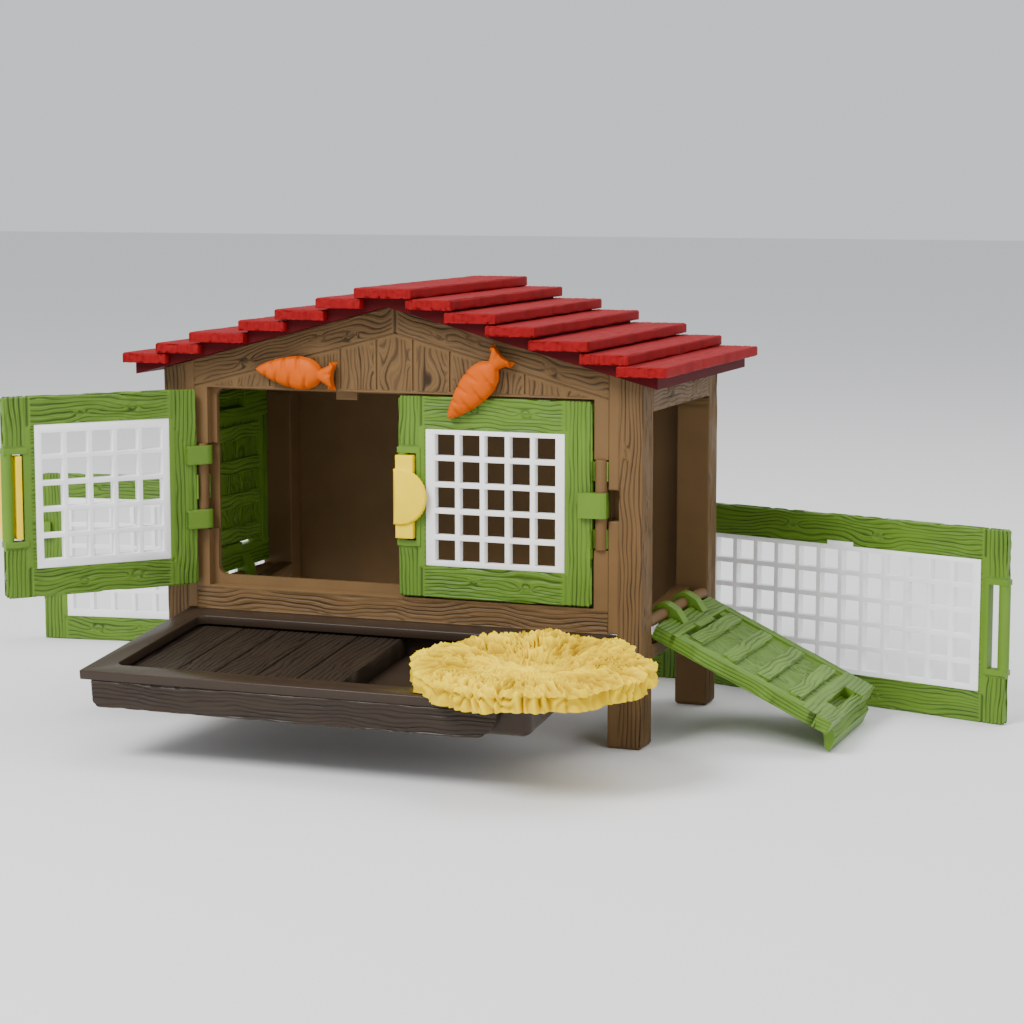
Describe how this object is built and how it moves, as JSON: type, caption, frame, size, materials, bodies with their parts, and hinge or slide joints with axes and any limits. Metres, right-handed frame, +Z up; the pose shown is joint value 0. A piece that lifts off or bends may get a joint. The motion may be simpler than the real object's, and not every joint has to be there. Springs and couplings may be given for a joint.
{
  "type": "toy rabbit hutch",
  "caption": "Toy rabbit hutch with a stepped board roof, grille doors, drop ramps, a pull-out tray with a straw mat and a folding grille run.",
  "frame": {"origin": "on the floor, at the middle of the line where the house front's face comes down", "axes": "+X to the right as seen from the front, +Y to the back, +Z up"},
  "size_m": [0.3765, 0.2019, 0.141],
  "materials": {
    "house_brown": "matte moulded plastic with wood-grain relief",
    "roof_red": "satin moulded plastic with rough-sawn relief",
    "roof_dark": "satin moulded plastic",
    "panel_green": "satin moulded plastic with wood-grain relief",
    "cleat_green": "satin moulded plastic",
    "grille_white": "satin moulded plastic",
    "latch_yellow": "satin moulded plastic",
    "carrot_orange": "satin moulded plastic",
    "tray_brown": "satin moulded plastic",
    "deck_brown": "satin moulded plastic with wood-grain relief",
    "straw_yellow": "satin moulded plastic with straw relief"
  },
  "bodies": {
    "house": {"front_wall": "house_brown", "back_wall": "house_brown", "side_frame_left": "house_brown", "side_frame_right": "house_brown", "door_rod_left": "house_brown", "door_rod_right": "house_brown", "ramp_rod_left": "house_brown", "ramp_rod_right": "house_brown", "tray_runner_left": "house_brown", "tray_runner_right": "house_brown", "roof_shell": "roof_dark", "ridge_board": "roof_red", "roof_board_left_1": "roof_red", "roof_board_left_2": "roof_red", "roof_board_left_3": "roof_red", "roof_board_left_4": "roof_red", "roof_board_left_5": "roof_red", "roof_board_left_6": "roof_red", "roof_board_right_1": "roof_red", "roof_board_right_2": "roof_red", "roof_board_right_3": "roof_red", "roof_board_right_4": "roof_red", "roof_board_right_5": "roof_red", "roof_board_right_6": "roof_red"},
    "door_left": {"door_left_frame": "panel_green", "door_left_grid": "grille_white"},
    "door_right": {"door_right_frame": "panel_green", "door_right_grid": "grille_white"},
    "latch_left": {"latch_left": "latch_yellow"},
    "latch_right": {"latch_right": "latch_yellow"},
    "carrot_left": {"carrot_left": "carrot_orange"},
    "carrot_right": {"carrot_right": "carrot_orange"},
    "ramp_left": {"ramp_board_left": "panel_green", "ramp_cleats_left": "cleat_green"},
    "ramp_right": {"ramp_board_right": "panel_green", "ramp_cleats_right": "cleat_green"},
    "tray": {"tray_basin": "tray_brown", "tray_deck": "deck_brown", "tray_front_board": "tray_brown"},
    "straw": {"straw_mat": "straw_yellow"},
    "fence_1": {"fence_1_frame": "panel_green", "fence_1_grid": "grille_white"},
    "fence_2": {"fence_2_frame": "panel_green", "fence_2_grid": "grille_white"},
    "fence_3": {"fence_3_frame": "panel_green", "fence_3_grid": "grille_white"},
    "fence_4": {"fence_4_frame": "panel_green", "fence_4_grid": "grille_white"}
  },
  "joints": [
    {"name": "door_right_hinge", "type": "hinge", "parent": "house", "child": "door_right", "pos_m": [0.0681, 0.0006, 0.0756], "axis": [0, 0, 1], "range_deg": [0, 130.4]},
    {"name": "door_left_hinge", "type": "hinge", "parent": "house", "child": "door_left", "pos_m": [-0.0681, 0.0006, 0.0756], "axis": [0, 0, -1], "range_deg": [-130.4, 0]},
    {"name": "latch_right_swivel", "type": "hinge", "parent": "door_right", "child": "latch_right", "pos_m": [0.00265, 0.0006, 0.0756], "axis": [0, 0, -1], "range_deg": [0, 40]},
    {"name": "latch_left_swivel", "type": "hinge", "parent": "door_left", "child": "latch_left", "pos_m": [-0.11052, -0.04924, 0.0756], "axis": [0, 0, 1], "range_deg": [0, 40]},
    {"name": "carrot_right_turn", "type": "hinge", "parent": "house", "child": "carrot_right", "pos_m": [0.0301, 0, 0.1134], "axis": [0, 1, 0], "range_deg": [-40, 45]},
    {"name": "carrot_left_turn", "type": "hinge", "parent": "house", "child": "carrot_left", "pos_m": [-0.0301, 0, 0.1134], "axis": [0, -1, 0], "range_deg": [-10, 90]},
    {"name": "ramp_right_hinge", "type": "hinge", "parent": "house", "child": "ramp_right", "pos_m": [0.0796, 0.04075, 0.0382], "axis": [0, -1, 0], "range_deg": [0, 115.2]},
    {"name": "ramp_left_hinge", "type": "hinge", "parent": "house", "child": "ramp_left", "pos_m": [-0.0796, 0.04075, 0.0382], "axis": [0, -1, 0], "range_deg": [0, 115.2]},
    {"name": "tray_slide", "type": "slide", "parent": "house", "child": "tray", "axis": [0, 0.994, 0.1097], "range_m": [0, 0.0667]},
    {"name": "straw_slip", "type": "slide", "parent": "house", "child": "straw", "axis": [0, -0.994, -0.1097], "range_m": [0, 0.05]},
    {"name": "run_place", "type": "slide", "parent": "house", "child": "fence_2", "axis": [0, 1, 0], "range_m": [0, 0.1]},
    {"name": "fence_1_hinge", "type": "hinge", "parent": "fence_2", "child": "fence_1", "pos_m": [-0.1285, 0.1136, 0.0317], "axis": [0, 0, -1], "range_deg": [-35, 90]},
    {"name": "fence_3_hinge", "type": "hinge", "parent": "fence_2", "child": "fence_3", "pos_m": [-0.00495, 0.1136, 0.0317], "axis": [0, 0, 1], "range_deg": [0, 90]},
    {"name": "fence_4_hinge", "type": "hinge", "parent": "fence_3", "child": "fence_4", "pos_m": [0.0605, 0.1136, 0.0317], "axis": [0, 0, 1], "range_deg": [-5, 90]}
  ]
}
